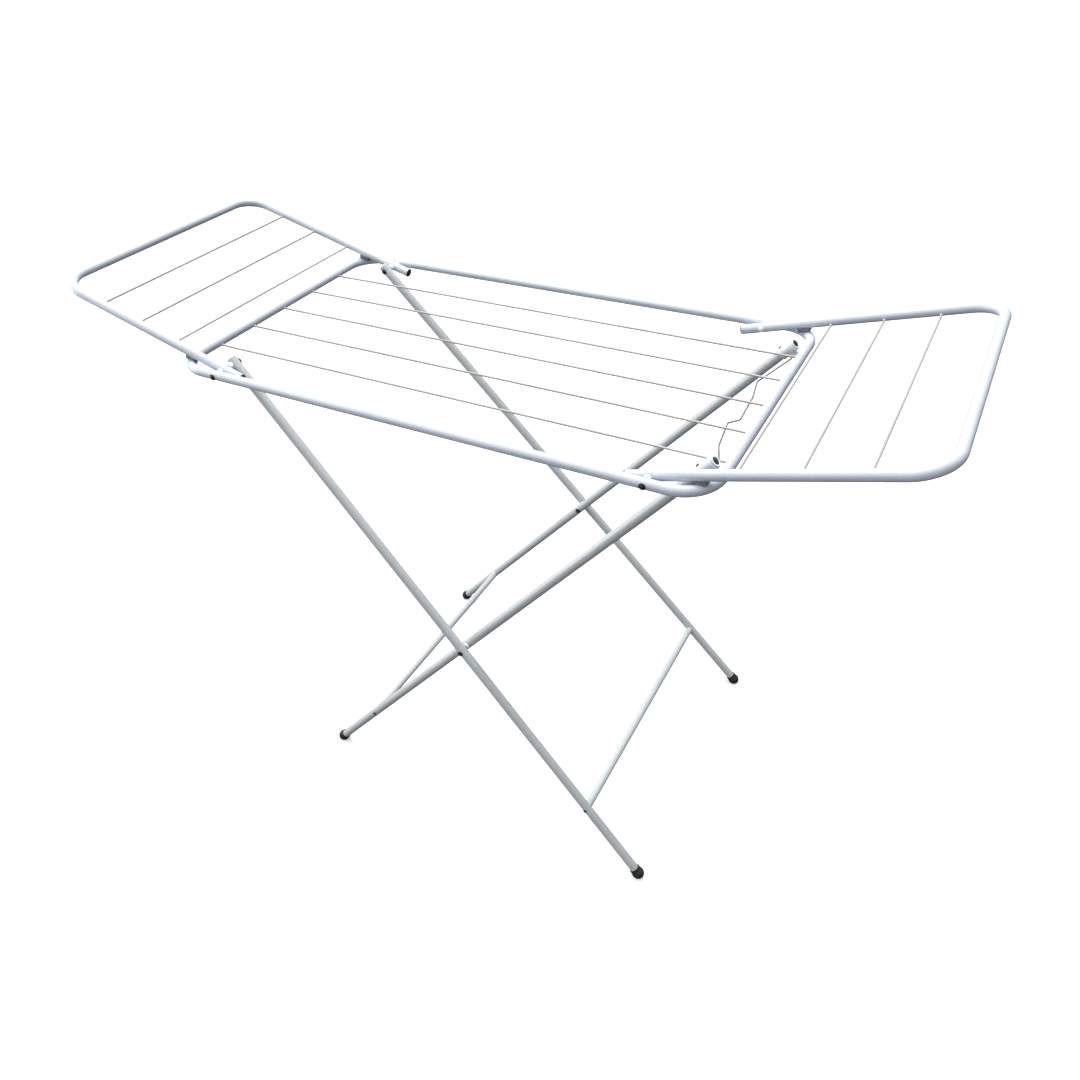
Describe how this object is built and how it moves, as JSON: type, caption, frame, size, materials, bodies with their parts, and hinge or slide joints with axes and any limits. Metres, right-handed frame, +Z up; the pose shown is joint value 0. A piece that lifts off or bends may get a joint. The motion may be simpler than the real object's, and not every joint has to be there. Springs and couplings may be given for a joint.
{
  "type": "folding clothes drying rack",
  "caption": "Free-standing clothes rack: a level panel of wires on crossed tube legs, with a tilted folding wing of wires at each end.",
  "frame": {"origin": "on the floor below the middle of the panel", "axes": "+Z up; X runs along the rack from the left wing to the right wing; Y runs across it from front to back"},
  "size_m": [1.6678, 0.6418, 1.1246],
  "materials": {
    "white_paint": "smooth semi-gloss powder coat, white with a cool cast",
    "leg_paint": "satin powder coat, light silver grey",
    "coated_wire": "thin smooth plastic coat, off-white",
    "zinc_wire": "dull zinc plate",
    "foot_rubber": "matt moulded rubber, black",
    "pad_rubber": "matt moulded rubber, mid grey",
    "hook_plastic": "fine-grained moulded nylon, pale grey",
    "black_plastic": "satin moulded plastic, black",
    "inner_plastic": "plain moulded plastic, natural",
    "black_fasteners": "black oxide with a dull sheen"
  },
  "bodies": {
    "leg_frame_a": {"cross_rivets": "black_fasteners", "cross_spacers": "hook_plastic", "leg_a_crossbar": "leg_paint", "leg_a_crossbar_plugs": "inner_plastic", "leg_a_crossbar_screws": "black_fasteners", "leg_a_foot_back": "foot_rubber", "leg_a_foot_front": "foot_rubber", "leg_a_top_plugs": "hook_plastic", "leg_a_tube_back": "leg_paint", "leg_a_tube_front": "leg_paint"},
    "left_wing": {"left_wing_rest_pads": "pad_rubber", "left_wing_tail_plugs": "black_plastic", "left_wing_tube": "white_paint", "left_wing_wire_1": "coated_wire", "left_wing_wire_2": "coated_wire", "left_wing_wire_3": "coated_wire"},
    "leg_frame_b": {"leg_b_crossbar": "leg_paint", "leg_b_crossbar_plugs": "inner_plastic", "leg_b_crossbar_screws": "black_fasteners", "leg_b_foot_back": "foot_rubber", "leg_b_foot_front": "foot_rubber", "leg_b_hook_back": "hook_plastic", "leg_b_hook_front": "hook_plastic", "leg_b_spreader_wire": "zinc_wire", "leg_b_top_plugs": "black_plastic", "leg_b_tube_back": "leg_paint", "leg_b_tube_front": "leg_paint"},
    "panel": {"leg_spacers": "hook_plastic", "panel_end_bar_left": "white_paint", "panel_end_bar_right": "white_paint", "panel_side_tube_back": "white_paint", "panel_side_tube_front": "white_paint", "panel_wire_1": "coated_wire", "panel_wire_2": "coated_wire", "panel_wire_3": "coated_wire", "panel_wire_4": "coated_wire", "panel_wire_5": "coated_wire", "pivot_caps_right": "hook_plastic", "pivot_pins_right": "black_fasteners", "pivot_rivets_left": "black_fasteners", "wing_spacers": "hook_plastic"},
    "right_wing": {"right_wing_rest_pads": "pad_rubber", "right_wing_tail_plugs": "black_plastic", "right_wing_tube": "white_paint", "right_wing_wire_1": "coated_wire", "right_wing_wire_2": "coated_wire", "right_wing_wire_3": "coated_wire"}
  },
  "joints": [
    {"name": "left_wing_fold", "type": "hinge", "parent": "panel", "child": "left_wing", "pos_m": [-0.427, 0, 1.005], "axis": [0, 1, 0], "range_deg": [0, 163.5]},
    {"name": "right_wing_fold", "type": "hinge", "parent": "panel", "child": "right_wing", "pos_m": [0.427, 0, 1.005], "axis": [0, -1, 0], "range_deg": [0, 163.5]},
    {"name": "leg_frame_a_fold", "type": "hinge", "parent": "panel", "child": "leg_frame_a", "pos_m": [-0.427, 0, 1.005], "axis": [0, 1, 0], "range_deg": [0, 45]},
    {"name": "leg_frame_b_fold", "type": "hinge", "parent": "leg_frame_a", "child": "leg_frame_b", "pos_m": [0.03515, 0, 0.47358], "axis": [0, -1, 0], "range_deg": [0, 76.5]}
  ],
  "couplings": [
    {"joint": "leg_frame_b_fold", "follows": "leg_frame_a_fold", "ratio": 1.7}
  ]
}
